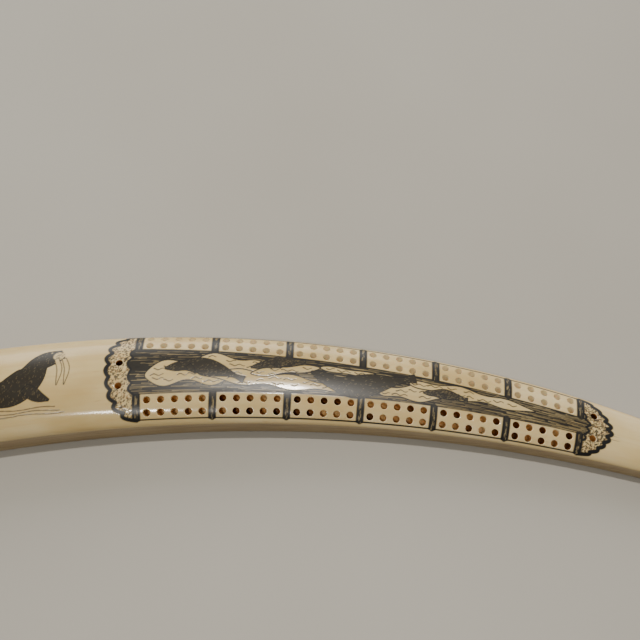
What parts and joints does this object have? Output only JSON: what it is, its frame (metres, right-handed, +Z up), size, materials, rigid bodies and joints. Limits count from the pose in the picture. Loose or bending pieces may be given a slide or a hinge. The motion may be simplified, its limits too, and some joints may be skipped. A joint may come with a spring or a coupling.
{
  "type": "cribbage board",
  "caption": "Curved ivory tusk cribbage board with a crowned top, four rows of drilled peg holes, a flat underside and a stoppered peg store in its butt end",
  "frame": {"origin": "on the flat underside, under the tusk's centre line, halfway along the hole field", "axes": "X runs along the centre line at the origin towards the tip, Y points to the outside of the curve, Z is up through the crowned top"},
  "size_m": [0.4797, 0.0859, 0.0266],
  "materials": {
    "tusk_ivory": "polished walrus ivory, warm cream with long faint streaks, engraved and inked in black",
    "stopper_ivory": "turned and polished ivory",
    "cork": "bare fine-grained cork",
    "light_peg": "turned and polished ivory",
    "dark_peg": "turned dark hardwood, oiled"
  },
  "bodies": {
    "board": {"tusk_body": "tusk_ivory"},
    "stopper": {"stopper": "stopper_ivory", "stopper_cork": "cork"},
    "peg_light_1": {"peg_light_1": "light_peg"},
    "peg_light_2": {"peg_light_2": "light_peg"},
    "peg_light_3": {"peg_light_3": "light_peg"},
    "peg_dark_1": {"peg_dark_1": "dark_peg"},
    "peg_dark_2": {"peg_dark_2": "dark_peg"},
    "peg_dark_3": {"peg_dark_3": "dark_peg"}
  },
  "joints": [
    {"name": "stopper_pull", "type": "slide", "parent": "board", "child": "stopper", "axis": [-0.9272, -0.3746, 0], "range_m": [0, 0.1]},
    {"name": "peg_light_1_slide", "type": "slide", "parent": "board", "child": "peg_light_1", "axis": [-0.9272, -0.3746, 0], "range_m": [0, 0.07]},
    {"name": "peg_light_2_slide", "type": "slide", "parent": "board", "child": "peg_light_2", "axis": [-0.9272, -0.3746, 0], "range_m": [0, 0.07]},
    {"name": "peg_light_3_slide", "type": "slide", "parent": "board", "child": "peg_light_3", "axis": [-0.9272, -0.3746, 0], "range_m": [0, 0.07]},
    {"name": "peg_dark_1_slide", "type": "slide", "parent": "board", "child": "peg_dark_1", "axis": [-0.9272, -0.3746, 0], "range_m": [0, 0.063]},
    {"name": "peg_dark_2_slide", "type": "slide", "parent": "board", "child": "peg_dark_2", "axis": [-0.9272, -0.3746, 0], "range_m": [0, 0.063]},
    {"name": "peg_dark_3_slide", "type": "slide", "parent": "board", "child": "peg_dark_3", "axis": [-0.9272, -0.3746, 0], "range_m": [0, 0.063]}
  ],
  "couplings": [
    {"joint": "peg_light_1_slide", "follows": "stopper_pull", "ratio": 0.7},
    {"joint": "peg_light_2_slide", "follows": "stopper_pull", "ratio": 0.7},
    {"joint": "peg_light_3_slide", "follows": "stopper_pull", "ratio": 0.7},
    {"joint": "peg_dark_1_slide", "follows": "stopper_pull", "ratio": 0.63},
    {"joint": "peg_dark_2_slide", "follows": "stopper_pull", "ratio": 0.63},
    {"joint": "peg_dark_3_slide", "follows": "stopper_pull", "ratio": 0.63}
  ]
}
